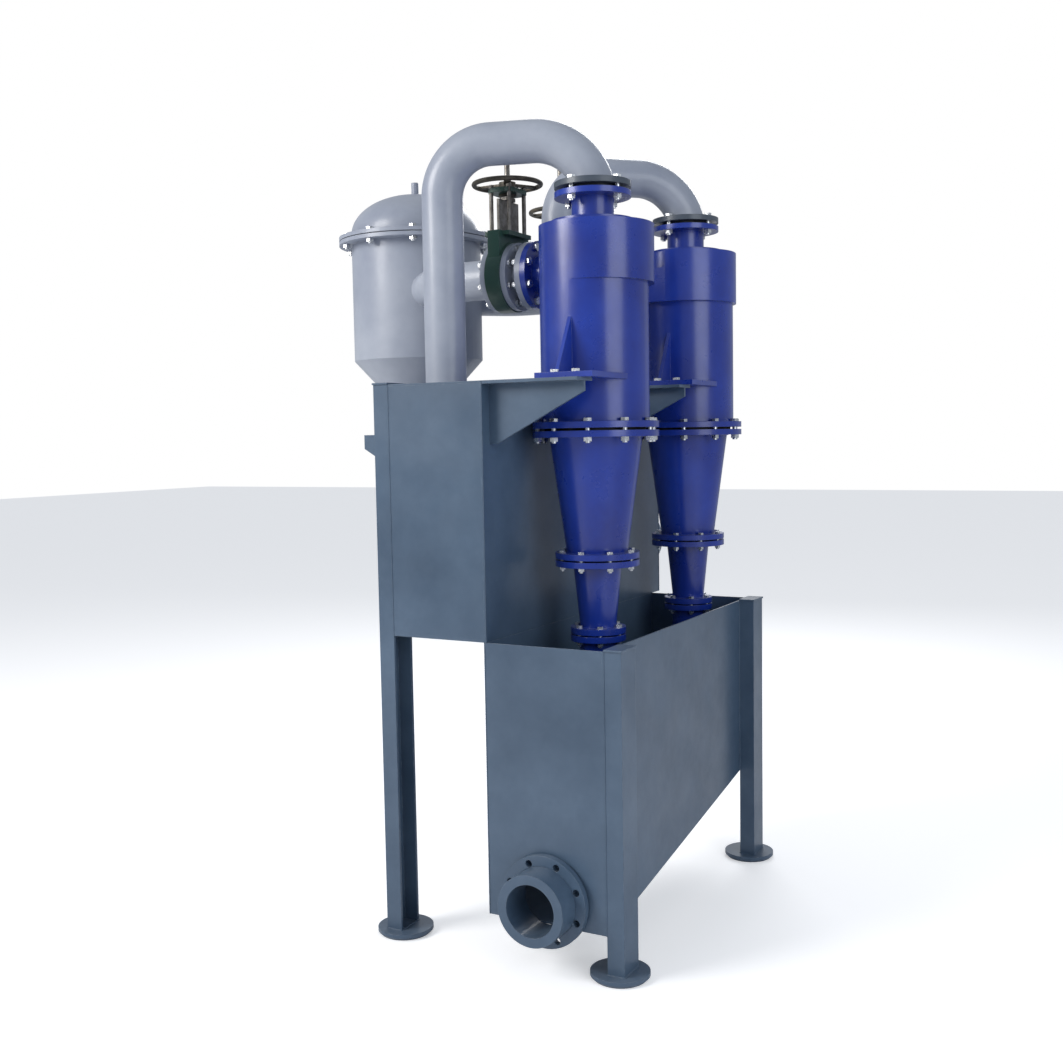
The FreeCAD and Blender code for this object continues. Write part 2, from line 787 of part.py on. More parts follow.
# ---------------------------------------------------------------- feed distributor
def vessel_shell():
    """Drum with a flanged rim, a cone below and the feed inlet flange at the bottom."""
    rim = vessel_joint - vessel_gasket / 2
    outer, tube, edge = vessel_radius, vessel_inlet_outer / 2, vessel_flange_diameter / 2
    cone_end = vessel_bottom - vessel_cone_height
    foot = cone_end - vessel_inlet_reach
    flange = outlet_flange_diameter / 2
    wall = vessel_wall
    drum = turned([(0, foot), (flange, foot), (flange, foot + outlet_flange_thickness),
                   (tube, foot + outlet_flange_thickness), (tube, cone_end), (outer, vessel_bottom),
                   (outer, rim - vessel_flange_thickness), (edge, rim - vessel_flange_thickness),
                   (edge, rim), (0, rim)])
    hollow = turned([(0, foot), (tube - wall, foot), (tube - wall, cone_end), (outer - wall, vessel_bottom),
                     (outer - wall, rim), (0, rim)])
    inlet = bolt_circle(outlet_bolt_circle, outlet_bolts, 180.0 / outlet_bolts)
    cuts = [rod(outlet_bolt_hole / 2, outlet_flange_thickness, (x, y, foot)) for x, y in inlet]
    cuts += holes(vessel_spots(), M16, vessel_flange_thickness, rim - vessel_flange_thickness)
    return drum, hollow, cuts


def vessel_spots():
    return list(bolt_circle(vessel_bolt_circle, vessel_bolts, vessel_bolt_angle))


def branch(face_x, y):
    """Outlet branch from the drum to a valve: a slanting run, a bend and a run along X."""
    away = y - vessel_y
    corner = Vector(vessel_x + abs(away), y, feed_level)
    slant = Vector(abs(away), away, 0).normalize()
    arc, start, end = bend(corner, slant, ALONG_X, feed_bend_radius)
    inside = Vector(vessel_x, vessel_y, feed_level) + slant * (vessel_radius / 2)
    path = Part.Wire([line(inside, start), arc, line(end, Vector(face_x, y, feed_level))])
    return path


def distributor_shell():
    drum, hollow, cuts = [moved_group(item, vessel_x, vessel_y) for item in vessel_shell()]
    solids, bores = [drum], [hollow]
    for x, y in feed_lines():
        face = x - valve_thickness / 2
        path = branch(face, y)
        spots = holes(feed_spots(), M16, feed_flange_thickness)
        solids += [swept_pipe(path, pipe_radius), feed_flange(face - feed_flange_thickness, y, spots)]
        bores.append(swept_pipe(path, pipe_bore))
    return fuse(solids).cut(bores + cuts)


def moved_group(item, x, y):
    if isinstance(item, list):
        return [moved(shape, x, y) for shape in item]
    return moved(item, x, y)


def distributor_lid():
    """Flanged ring with an elliptical dome and a vent stub."""
    rim = vessel_joint + vessel_gasket / 2
    skirt = rim + vessel_flange_thickness + dome_skirt
    flange = rod(vessel_flange_diameter / 2, vessel_flange_thickness, (0, 0, rim))
    ring = rod(vessel_radius, vessel_flange_thickness + dome_skirt, (0, 0, rim))
    dome = half_ellipsoid(vessel_radius, dome_height, skirt)
    inside = half_ellipsoid(vessel_radius - vessel_wall, dome_height - vessel_wall, skirt)
    bore = rod(vessel_radius - vessel_wall, vessel_flange_thickness + dome_skirt, (0, 0, rim))
    crown = skirt + dome_height
    vent = rod(vent_outer / 2, vent_height + 2 * vessel_wall, (0, 0, crown - 2 * vessel_wall))
    throat = rod(vent_outer / 2 - vent_wall, vent_height + 4 * vessel_wall, (0, 0, crown - 4 * vessel_wall))
    cuts = holes(vessel_spots(), M16, vessel_flange_thickness, rim)
    lid = fuse([flange, ring, dome, vent]).cut([bore, inside, throat] + cuts)
    return moved(lid, vessel_x, vessel_y)


def half_ellipsoid(radius, height, base):
    """The upper half of a flattened ellipsoid of revolution on a level plane."""
    centre, side, crown = Vector(0, 0, base), Vector(radius, 0, base), Vector(0, 0, base + height)
    arc = Part.ArcOfEllipse(Part.Ellipse(side, crown, centre), 0, math.pi / 2).toShape()
    quarter = Part.Wire([line(centre, side), arc, line(crown, centre)])
    return Part.Face(quarter).revolve(centre, UP, 360)


def lid_gasket():
    ring = rod(vessel_bolt_circle / 2 - M16.diameter, vessel_gasket, (0, 0, vessel_joint - vessel_gasket / 2))
    ring = ring.cut(rod(vessel_radius - vessel_wall, 2 * vessel_gasket, (0, 0, vessel_joint - vessel_gasket)))
    return moved(ring, vessel_x, vessel_y)


def lid_bolt_set():
    bolts = flange_bolts(vessel_spots(), M16, vessel_joint, vessel_gasket, vessel_flange_thickness)
    return [moved(piece, vessel_x, vessel_y) for piece in bolts]


def distributor_bracket():
    """Shelf and two webs that carry the distributor's bottom flange."""
    top = vessel_bottom - vessel_cone_height - vessel_inlet_reach
    under, low = top - shelf_thickness, top - shelf_thickness - shelf_web_height
    half = outlet_flange_diameter / 2 + shelf_margin
    reach = vessel_x - half
    shelf = box((reach, -tank_width), (vessel_y - half, vessel_y + half), (under, top))
    outline = [(-tank_width, under), (reach, under), (reach, under - shelf_tip_height), (-tank_width, low)]
    starts = vessel_y - half, vessel_y + half - shelf_thickness
    webs = [prism_along_y(outline, y, shelf_thickness) for y in starts]
    spots = bolt_circle(outlet_bolt_circle, outlet_bolts, 180.0 / outlet_bolts)
    cuts = [rod(outlet_bolt_hole / 2, shelf_thickness, (vessel_x + x, vessel_y + y, under)) for x, y in spots]
    cuts.append(rod(vessel_inlet_outer / 2 - vessel_wall, shelf_thickness, (vessel_x, vessel_y, under)))
    return [shelf.cut(cuts), *webs]


# ---------------------------------------------------------------- feed lines and valves
def feed_lines():
    """Plan position of the valve in each line."""
    offsets = (feed_offset, -feed_offset)
    for x, y, offset in zip(valve_x, cyclone_y, offsets):
        yield x, y + offset


def valve_body(x, y):
    """Flat body with a gate slot, a square gland box and a top flange for the rods."""
    half = valve_thickness / 2
    disc = rod(valve_radius, valve_thickness, (-half, 0, feed_level), ALONG_X)
    gland = box((-valve_box_thickness / 2, valve_box_thickness / 2), (-valve_box_width / 2, valve_box_width / 2),
                (feed_level, valve_box_top))
    length, width = valve_top_flange
    top = box((-length / 2, length / 2), (-width / 2, width / 2),
              (valve_box_top - valve_top_flange_thickness, valve_box_top))
    slot = gate_width / 2 + gate_clearance
    gap = gate_thickness / 2 + gate_clearance
    pocket_level = gate_closed_bottom - gate_lift + slot
    channel = box((-gap, gap), (-slot, slot), (pocket_level, valve_box_top))
    pocket = rod(slot, 2 * gap, (-gap, 0, pocket_level), ALONG_X)
    bore = rod(valve_bore / 2, valve_thickness, (-half, 0, feed_level), ALONG_X)
    body = fuse([disc, gland, top]).cut([channel, pocket, bore] + valve_holes())
    return moved(body, x, y)


def valve_holes():
    """Through holes for the long bolts and blind ones for the screws beside the slot."""
    half = valve_thickness / 2
    through = holes([spot for spot in feed_spots() if not over_gate(spot)], M16, valve_thickness)
    for hole in through:
        hole.Placement = facing((-half, 0, feed_level), ALONG_X).multiply(hole.Placement)
    blind = []
    for start, axis in ((-half, ALONG_X), (half, -ALONG_X)):
        for y, z in screw_places():
            blind.append(rod(M16.diameter / 2 + slip, screw_depth, (start, y, z), axis))
    return through + blind


def screw_places():
    """(y, z) of the bolt places above the gate slot."""
    frame = facing((0, 0, feed_level), ALONG_X)
    for x, y in filter(over_gate, feed_spots()):
        spot = frame.multVec(Vector(x, y, 0))
        yield spot.y, spot.z


def feed_bolt_set(x, y):
    """Long bolts through the valve, screws into it, and bolts at the cyclone's inlet."""
    half, t = valve_thickness / 2, feed_flange_thickness
    through = [spot for spot in feed_spots() if not over_gate(spot)]
    long = bolts_at(through, M16, valve_thickness + 2 * t, 0)
    pieces = placed(long, facing((x + half + t, y, feed_level), ALONG_X))
    inlet = bolts_at(feed_spots(), M16, 2 * t, 0)
    pieces += placed(inlet, facing((inlet_face_x + t, y, feed_level), ALONG_X))
    screw = hex_bolt(M16, t + screw_depth - slip, nut=False)[0]
    for start, axis in ((x - half - t, -ALONG_X), (x + half + t, ALONG_X)):
        for spot_y, spot_z in screw_places():
            pieces += placed([screw], facing((start, y + spot_y, spot_z), axis))
    return pieces


def placed(shapes, frame):
    """Copies of shapes moved by a placement."""
    copies = [shape.copy() for shape in shapes]
    for copy in copies:
        copy.Placement = frame.multiply(copy.Placement)
    return copies


def gate_and_stem(x, y):
    """Gate plate with a round lower edge, and the stem whose foot is welded on it; drawn open."""
    half, width = gate_thickness / 2, gate_width / 2
    blade = box((-half, half), (-width, width), (gate_open_bottom + width, gate_top))
    tip = rod(width, gate_thickness, (-half, 0, gate_open_bottom + width), ALONG_X)
    length, foot_width, height = stem_foot
    foot = box((-length / 2, length / 2), (-foot_width / 2, foot_width / 2), (gate_top, gate_top + height))
    stem = rod(stem_diameter / 2, stem_top - gate_top, (0, 0, gate_top))
    return [moved(shape, x, y) for shape in (fuse([blade, tip]), fuse([foot, stem]))]


def yoke(x, y):
    """Plate with cut corners that carries the handwheel's journal."""
    length, width, thickness = yoke_size
    a, b, c = length / 2, width / 2, yoke_corner
    corners = [(a - c, -b), (a, c - b), (a, b - c), (a - c, b),
               (c - a, b), (-a, b - c), (-a, c - b), (c - a, -b)]
    solid = prism_along_z(corners, yoke_level, thickness)
    cuts = [rod(wheel_journal / 2 + running_clearance, thickness, (0, 0, yoke_level))]
    cuts += [rod(M12.diameter / 2 + slip, thickness, (rx, ry, yoke_level)) for rx, ry in rod_places()]
    return moved(solid.cut(cuts), x, y)


def rod_places():
    return [(side_x * rod_x, side_y * rod_y) for side_x in (-1, 1) for side_y in (-1, 1)]


def yoke_rod_set(x, y):
    """Rods that carry the yoke plate, their necks through it with a nut on top."""
    thickness = yoke_size[2]
    top = yoke_level + thickness
    pieces = []
    for rx, ry in rod_places():
        bar = rod(rod_diameter / 2, yoke_level - valve_box_top, (0, 0, valve_box_top))
        neck = rod(M12.diameter / 2, thickness + M12.nut + thread_end / 2, (0, 0, yoke_level))
        nut = hexagon(M12.across_flats, M12.nut, top).cut(rod(M12.diameter / 2, M12.nut, (0, 0, top)))
        pieces += [moved(shape, x + rx, y + ry) for shape in (fuse([bar, neck]), nut)]
    return pieces


def handwheel(x, y):
    """Rim, flat spokes and a hub whose journal turns in the yoke plate, with its retaining ring."""
    rim_radius = wheel_diameter / 2 - wheel_rim / 2
    rim = Part.makeTorus(rim_radius, wheel_rim / 2, Vector(0, 0, wheel_level))
    plate_top = yoke_level + yoke_size[2]
    hub = rod(wheel_hub / 2, wheel_level + spoke_thickness - plate_top - axial_clearance,
              (0, 0, plate_top + axial_clearance))
    journal_length = yoke_size[2] + 2 * axial_clearance + retainer_thickness
    journal_low = yoke_level - axial_clearance - retainer_thickness
    journal = rod(wheel_journal / 2, journal_length, (0, 0, journal_low))
    spokes = []
    for number in range(wheel_spokes):
        bar = box((0, rim_radius), (-spoke_width / 2, spoke_width / 2),
                  (wheel_level - spoke_thickness / 2, wheel_level + spoke_thickness / 2))
        bar.rotate(Vector(0, 0, 0), UP, spoke_angle + 360.0 * number / wheel_spokes)
        spokes.append(bar)
    bore = rod(stem_diameter / 2 + running_clearance, stem_top - journal_low, (0, 0, journal_low))
    wheel = fuse([rim, hub, journal] + spokes).cut(bore)
    ring = rod(retainer_diameter / 2, retainer_thickness, (0, 0, journal_low))
    ring = ring.cut(rod(wheel_journal / 2, retainer_thickness, (0, 0, journal_low)))
    return [moved(shape, x, y) for shape in (wheel, ring)]


def feed_spool(x, y):
    """Short flanged pipe between a valve and a cyclone inlet."""
    start, end = x + valve_thickness / 2, inlet_face_x
    cuts = holes(feed_spots(), M16, feed_flange_thickness)
    tube = rod(pipe_radius, end - start, (start, y, feed_level), ALONG_X)
    bore = rod(pipe_bore, end - start, (start, y, feed_level), ALONG_X)
    flanges = [feed_flange(start, y, cuts), feed_flange(end - feed_flange_thickness, y, cuts)]
    return fuse([tube] + flanges).cut(bore)


# ---------------------------------------------------------------- assembly
def both(maker):
    """A per-cyclone piece or list of pieces, drawn about Z, set on both cyclone axes."""
    pieces = []
    for y in cyclone_y:
        made = maker()
        made = made if isinstance(made, list) else [made]
        pieces += [moved(shape, cyclone_x, y) for shape in made]
    return pieces


def stand_nodes():
    nodes = {"overflow_tank": overflow_tank(), "tank_cover": tank_cover(),
             "underflow_trough": underflow_trough()}
    for name, side, y, top in leg_places():
        nodes[name] = leg(side, y, top)
    nodes["foot_plates"] = [foot_plate(side, y) for name, side, y, top in leg_places()]
    nodes["leg_caps"] = [leg_cap(side, y, top) for name, side, y, top in leg_places()]
    nodes["outlet_pipe"] = outlet_pipe()
    nodes["outlet_flange"] = outlet_flange()
    nodes["discharge_nozzle"] = discharge_nozzle()
    nodes["distributor_bracket"] = distributor_bracket()
    return nodes


def cyclone_nodes():
    nodes = {}
    makers = {"head_liner": head_liner, "upper_cone": upper_cone, "upper_cone_liner": upper_cone_liner,
              "lower_cone": lower_cone, "lower_cone_liner": lower_cone_liner, "spigot": spigot,
              "vortex_finder": vortex_finder, "top_cover": top_cover, "overflow_flange": overflow_flange}
    for number, (y, end) in enumerate(zip(cyclone_y, drops()), 1):
        nodes[f"cyclone_head_{number}"] = moved(cyclone_head(mirrored=number == 2), cyclone_x, y)
        for name, maker in makers.items():
            nodes[f"{name}_{number}"] = moved(maker(), cyclone_x, y)
        nodes[f"overflow_pipe_{number}"] = overflow_pipe((cyclone_x, y), end)
        nodes[f"bracket_front_{number}"] = cyclone_front_bracket(y)
        nodes[f"bracket_rear_{number}"] = cyclone_rear_bracket(y)
    nodes["overflow_gaskets"] = both(overflow_gasket)
    nodes["body_flange_bolts"] = both(body_bolt_set)
    nodes["cone_flange_bolts"] = both(cone_bolt_set)
    nodes["overflow_flange_bolts"] = both(overflow_bolt_set)
    nodes["lug_bolts"] = both(lug_bolt_set)
    return nodes


def feed_nodes():
    nodes = {"distributor_shell": distributor_shell(), "distributor_lid": distributor_lid(),
             "lid_gasket": lid_gasket(), "lid_bolts": lid_bolt_set()}
    rods, bolts = [], []
    for number, (x, y) in enumerate(feed_lines(), 1):
        nodes[f"valve_body_{number}"] = valve_body(x, y)
        nodes[f"valve_gate_{number}"] = gate_and_stem(x, y)
        nodes[f"yoke_plate_{number}"] = yoke(x, y)
        nodes[f"handwheel_{number}"] = handwheel(x, y)
        nodes[f"feed_spool_{number}"] = feed_spool(x, y)
        rods += yoke_rod_set(x, y)
        bolts += feed_bolt_set(x, y)
    nodes["yoke_rods"] = rods
    nodes["feed_line_bolts"] = bolts
    return nodes


def assembly():
    """Every node by name, with the origin under the middle of the whole set."""
    nodes = {**stand_nodes(), **cyclone_nodes(), **feed_nodes()}
    shapes = {name: Part.makeCompound(item) if isinstance(item, list) else item
              for name, item in nodes.items()}
    bounds = Part.makeCompound(list(shapes.values())).optimalBoundingBox(False, False)
    middle = (bounds.XMin + bounds.XMax) / 2, (bounds.YMin + bounds.YMax) / 2
    return {name: moved(shape, -middle[0], -middle[1]) for name, shape in shapes.items()}, middle


def main():
    os.makedirs("parts", exist_ok=True)
    shapes, middle = assembly()
    for name, shape in shapes.items():
        shape.exportStep(f"parts/{name}.step")
    print(f"{len(shapes)} nodes, footprint centre at {middle[0]:.3f}, {middle[1]:.3f}")


main()
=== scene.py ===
"""The twin hydrocyclone set in a plain studio.

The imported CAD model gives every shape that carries, turns or fastens.  This script paints each node,
lays the weld beads and lights the set.  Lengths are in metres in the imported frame: Z = 0 is the floor
and -Y is the outlet end.
"""
import json
import math
import random

import bmesh
import bpy
from mathutils import Matrix, Vector


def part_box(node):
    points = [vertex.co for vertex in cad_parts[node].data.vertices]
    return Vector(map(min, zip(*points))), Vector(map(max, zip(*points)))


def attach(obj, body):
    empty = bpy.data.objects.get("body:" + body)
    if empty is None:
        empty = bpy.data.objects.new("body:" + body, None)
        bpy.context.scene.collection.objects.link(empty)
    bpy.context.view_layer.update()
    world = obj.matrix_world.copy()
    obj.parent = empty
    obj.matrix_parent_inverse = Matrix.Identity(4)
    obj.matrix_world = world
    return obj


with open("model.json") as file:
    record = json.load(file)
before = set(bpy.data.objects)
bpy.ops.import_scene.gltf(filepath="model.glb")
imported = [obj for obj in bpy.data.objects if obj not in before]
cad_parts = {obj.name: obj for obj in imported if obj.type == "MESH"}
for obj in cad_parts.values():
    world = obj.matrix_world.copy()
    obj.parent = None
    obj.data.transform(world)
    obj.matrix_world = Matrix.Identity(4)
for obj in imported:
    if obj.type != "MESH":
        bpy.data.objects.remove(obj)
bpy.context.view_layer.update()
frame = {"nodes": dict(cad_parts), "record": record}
NODES = frame["nodes"]

# ---------------------------------------------------------------- driving values
CAMERA_PLACE = (2.147, -3.817, 1.600)
CAMERA_YAW = 0.5027
CAMERA_PITCH = 0.0769
CAMERA_ROLL = -0.0174
CAMERA_LENS = 41.38
CAMERA_SENSOR = 36.0

# weld beads: size, ripple spacing, points per ripple and unevenness
BEAD_RADIUS = 0.0028
FINE_BEAD_RADIUS = 0.0018
BEAD_PITCH = 0.0055
BEAD_STEPS = 3
BEAD_SIDES = 6
BEAD_RIPPLE = 0.22
BEAD_SCATTER = 0.10
RING_SEGMENTS = 96

# level of the trough's floor at its rear end
TROUGH_FLOOR_REAR = 0.357

# cyclone: thicknesses next to the ring welds, and the radius of each ring
BODY_FLANGE = 0.020
CONE_FLANGE = 0.019
FOOT_FLANGE = 0.020
COVER = 0.014
BARREL_RING = 0.171
CONE_TOP_RING = 0.151
CONE_FOOT_RING = 0.098
LOWER_CONE_TOP_RING = 0.079
LOWER_CONE_FOOT_RING = 0.057
NECK_RING = 0.067

# paint and rubber
WHITE = (1.0, 1.0, 1.0, 1.0)
DUST_COLOUR = (0.42, 0.43, 0.44, 1.0)
DUST_AMOUNT = 0.16
EDGE_WEAR = 0.55
COAT_ROUGHNESS = 0.18
RUBBER_BLOOM = (0.07, 0.07, 0.07, 1.0)

# studio; each lamp is (name, place, diameter, watts, colour)
FLOOR_REACH = 30.0
FLOOR_COLOUR = (0.86, 0.86, 0.87, 1.0)
FLOOR_ROUGHNESS = 0.9
FLOOR_GLOW = 0.42
SKY_COLOUR = (0.80, 0.86, 0.95, 1.0)
SKY_STRENGTH = 0.45
LAMP_AIM = Vector((0, 0, 1.3))
LAMPS = (("key", (-3.2, -4.6, 4.2), 3.0, 260.0, (1.0, 0.98, 0.95)),
         ("fill", (4.5, -2.0, 2.6), 3.0, 60.0, (0.92, 0.96, 1.0)),
         ("back", (-1.0, 4.5, 4.5), 3.0, 120.0, (1.0, 1.0, 1.0)))


def srgb(red, green, blue):
    """A paint colour read as 0-255 screen values, as linear values."""
    def channel(value):
        value /= 255
        return value / 12.92 if value <= 0.04045 else ((value + 0.055) / 1.055) ** 2.4
    return (channel(red), channel(green), channel(blue), 1.0)


# ---------------------------------------------------------------- materials
def new_material(name):
    material = bpy.data.materials.new(name)
    material.use_nodes = True
    tree = material.node_tree
    return material, tree, tree.nodes["Principled BSDF"]


def add_node(tree, kind, **values):
    """A shader node with its sockets or properties set by name."""
    node = tree.nodes.new(kind)
    for key, value in values.items():
        if key in node.inputs:
            node.inputs[key].default_value = value
        else:
            setattr(node, key, value)
    return node


def noise(tree, coordinates, scale, detail=4.0, roughness=0.55):
    node = add_node(tree, "ShaderNodeTexNoise", Scale=scale, Detail=detail, Roughness=roughness)
    tree.links.new(coordinates, node.inputs["Vector"])
    return node.outputs["Fac"]


def remap(tree, value, low, high, out_low=0.0, out_high=1.0):
    node = tree.nodes.new("ShaderNodeMapRange")
    for socket, number in zip(("From Min", "From Max", "To Min", "To Max"), (low, high, out_low, out_high)):
        node.inputs[socket].default_value = number
    tree.links.new(value, node.inputs["Value"])
    return node.outputs["Result"]


def maths(tree, operation, first, second=None):
    node = add_node(tree, "ShaderNodeMath", operation=operation)
    for socket, value in zip(node.inputs, (first, second)):
        if isinstance(value, (int, float)):
            socket.default_value = value
        elif value is not None:
            tree.links.new(value, socket)
    return node.outputs[0]


def mix(tree, factor, first, second):
    """Colour mix; first and second are colours or sockets."""
    node = add_node(tree, "ShaderNodeMix", data_type="RGBA")
    colours = [socket for socket in node.inputs if socket.type == "RGBA"]
    tree.links.new(factor, node.inputs["Factor"])
    for socket, value in zip(colours, (first, second)):
        if isinstance(value, tuple):
            socket.default_value = value
        else:
            tree.links.new(value, socket)
    return next(socket for socket in node.outputs if socket.type == "RGBA")


def object_coordinates(tree):
    return tree.nodes.new("ShaderNodeTexCoord").outputs["Object"]


def edge_mask(tree, radius):
    """1 along sharp edges: how far the rounded normal leans away from the true one."""
    bevel = add_node(tree, "ShaderNodeBevel", samples=4, Radius=radius)
    true_normal = tree.nodes.new("ShaderNodeNewGeometry").outputs["Normal"]
    dot = add_node(tree, "ShaderNodeVectorMath", operation="DOT_PRODUCT")
    tree.links.new(bevel.outputs["Normal"], dot.inputs[0])
    tree.links.new(true_normal, dot.inputs[1])
    return remap(tree, dot.outputs["Value"], 0.98, 0.80), bevel.outputs["Normal"]


def paint(name, colour, light, dark, wear, roughness=0.38, coat=0.25, edge=0.0025, peel=0.08):
    """Brushed or sprayed enamel on steel: cloudy tone, orange peel, dust on top faces, worn edges."""
    material, tree, shader = new_material(name)
    place = object_coordinates(tree)
    cloud = noise(tree, place, 2.2, 5.0, 0.6)
    speck = noise(tree, place, 60.0, 3.0)
    edges, rounded = edge_mask(tree, edge)
    tone = mix(tree, remap(tree, cloud, 0.35, 0.65), dark, light)
    tone = mix(tree, remap(tree, speck, 0.45, 0.75, 0.0, 0.25), tone, colour)
    rubbed = maths(tree, "MULTIPLY", edges, remap(tree, noise(tree, place, 38.0, 4.0), 0.42, 0.62))
    tone = mix(tree, maths(tree, "MULTIPLY", rubbed, EDGE_WEAR), tone, wear)
    normal = tree.nodes.new("ShaderNodeNewGeometry").outputs["Normal"]
    split = tree.nodes.new("ShaderNodeSeparateXYZ")
    tree.links.new(normal, split.inputs[0])
    dust = maths(tree, "MULTIPLY", remap(tree, split.outputs["Z"], 0.6, 1.0, 0.0, DUST_AMOUNT),
                 remap(tree, noise(tree, place, 9.0, 6.0, 0.7), 0.35, 0.7))
    tone = mix(tree, dust, tone, DUST_COLOUR)
    tree.links.new(tone, shader.inputs["Base Color"])
    rough = remap(tree, noise(tree, place, 7.0, 6.0, 0.65), 0.3, 0.7, roughness - 0.07, roughness + 0.1)
    tree.links.new(rough, shader.inputs["Roughness"])
    bump = add_node(tree, "ShaderNodeBump", Strength=peel, Distance=0.001)
    tree.links.new(noise(tree, place, 260.0, 2.0), bump.inputs["Height"])
    tree.links.new(rounded, bump.inputs["Normal"])
    tree.links.new(bump.outputs["Normal"], shader.inputs["Normal"])
    shader.inputs["Coat Weight"].default_value = coat
    shader.inputs["Coat Roughness"].default_value = COAT_ROUGHNESS
    return material


def metal(name, colour, dark, roughness, edge=0.0008, stain=0.35):
    """Zinc plate or plain steel with stains and fine scratches."""
    material, tree, shader = new_material(name)
    place = object_coordinates(tree)
    edges, rounded = edge_mask(tree, edge)
    blotch = remap(tree, noise(tree, place, 45.0, 5.0, 0.6), 0.4, 0.7, 0.0, stain)
    tone = mix(tree, blotch, colour, dark)
    tree.links.new(tone, shader.inputs["Base Color"])
    shader.inputs["Metallic"].default_value = 1.0
    rough = remap(tree, noise(tree, place, 120.0, 4.0), 0.3, 0.7, roughness - 0.08, roughness + 0.12)
    tree.links.new(rough, shader.inputs["Roughness"])
    bump = add_node(tree, "ShaderNodeBump", Strength=0.12, Distance=0.0006)
    tree.links.new(noise(tree, place, 500.0, 3.0), bump.inputs["Height"])
    tree.links.new(rounded, bump.inputs["Normal"])
    tree.links.new(bump.outputs["Normal"], shader.inputs["Normal"])
    return material


def cast_iron(name, colour, light):
    """Sand-cast surface with a dull coat and lighter rubbed patches scattered at random."""
    material, tree, shader = new_material(name)
    place = object_coordinates(tree)
    grain = noise(tree, place, 160.0, 5.0, 0.7)
    tone = mix(tree, remap(tree, noise(tree, place, 22.0, 5.0), 0.4, 0.68), colour, light)
    tree.links.new(tone, shader.inputs["Base Color"])
    tree.links.new(remap(tree, grain, 0.3, 0.7, 0.42, 0.62), shader.inputs["Roughness"])
    shader.inputs["Metallic"].default_value = 0.35
    bump = add_node(tree, "ShaderNodeBump", Strength=0.25, Distance=0.0012)
    tree.links.new(grain, bump.inputs["Height"])
    tree.links.new(bump.outputs["Normal"], shader.inputs["Normal"])
    return material


def rubber(name, colour):
    material, tree, shader = new_material(name)
    place = object_coordinates(tree)
    tone = mix(tree, remap(tree, noise(tree, place, 30.0, 5.0), 0.4, 0.7), colour, RUBBER_BLOOM)
    tree.links.new(tone, shader.inputs["Base Color"])
    tree.links.new(remap(tree, noise(tree, place, 90.0, 3.0), 0.3, 0.7, 0.6, 0.8), shader.inputs["Roughness"])
    return material


MATERIALS = {
    "tank_paint": paint("tank_paint", srgb(72, 92, 114), srgb(84, 104, 126), srgb(62, 82, 104),
                        srgb(150, 160, 170), roughness=0.36),
    "cyclone_blue": paint("cyclone_blue", srgb(22, 52, 150), srgb(28, 62, 168), srgb(16, 40, 130),
                          srgb(90, 110, 160), roughness=0.30, coat=0.4),
    "pipe_grey": paint("pipe_grey", srgb(158, 164, 178), srgb(172, 178, 190), srgb(142, 149, 166),
                       srgb(205, 208, 212), roughness=0.40),
    "flange_grey": paint("flange_grey", srgb(66, 76, 88), srgb(80, 90, 102), srgb(52, 60, 72),
                         srgb(150, 155, 160), roughness=0.42),
    "valve_green": paint("valve_green", srgb(34, 66, 56), srgb(46, 84, 70), srgb(22, 46, 42),
                         srgb(120, 130, 120), roughness=0.42),
    "zinc": metal("zinc", srgb(222, 224, 226), srgb(150, 152, 156), 0.28),
    "steel": metal("steel", srgb(150, 146, 140), srgb(84, 74, 66), 0.45, stain=0.7),
    "wheel": cast_iron("wheel", srgb(66, 62, 54), srgb(104, 96, 82)),
    "rubber": rubber("rubber", srgb(20, 20, 21)),
}

for part in frame["record"]["subparts"]:
    node = NODES[part["node"]]
    node.data.materials.clear()
    node.data.materials.append(MATERIALS[part["material_slot"]])


# ---------------------------------------------------------------- weld beads
def bead_path(points, closed):
    """Evenly spaced points along a polyline."""
    points = [Vector(p) for p in points]
    if closed:
        points.append(points[0])
    spaced = []
    for start, end in zip(points, points[1:]):
        steps = max(1, round((end - start).length / (BEAD_PITCH / BEAD_STEPS)))
        spaced += [start.lerp(end, step / steps) for step in range(steps)]
    return spaced if closed else spaced + [points[-1]]


def add_bead(mesh, points, radius, closed=False, seed=0):
    """A rippled bead of weld metal along a path, added to a bmesh."""
    rng = random.Random(seed)
    path = bead_path(points, closed)
    rings = []
    count = len(path)
    for index, point in enumerate(path):
        before = path[index - 1] if index or closed else path[0]
        after = path[(index + 1) % count] if index + 1 < count or closed else path[-1]
        tangent = (after - before).normalized()
        side = tangent.orthogonal().normalized()
        up = tangent.cross(side)
        ripple = BEAD_RIPPLE * math.cos(2 * math.pi * index / BEAD_STEPS)
        swell = radius * (1.0 + ripple + rng.uniform(-BEAD_SCATTER, BEAD_SCATTER))
        ring = []
        for k in range(BEAD_SIDES):
            angle = 2 * math.pi * k / BEAD_SIDES
            ring.append(mesh.verts.new(point + (side * math.cos(angle) + up * math.sin(angle)) * swell))
        rings.append(ring)
    pairs = list(zip(rings, rings[1:])) + ([(rings[-1], rings[0])] if closed else [])
    for first, second in pairs:
        for k in range(BEAD_SIDES):
            n = (k + 1) % BEAD_SIDES
            mesh.faces.new((first[k], first[n], second[n], second[k]))
    if not closed:
        mesh.faces.new(list(reversed(rings[0])))
        mesh.faces.new(rings[-1])


def circle(centre, radius):
    """Points on a level circle."""
    axis = Vector((0, 0, 1))
    side = axis.orthogonal().normalized()
    up = axis.cross(side)
    turns = [2 * math.pi * k / RING_SEGMENTS for k in range(RING_SEGMENTS)]
    return [Vector(centre) + (side * math.cos(a) + up * math.sin(a)) * radius for a in turns]


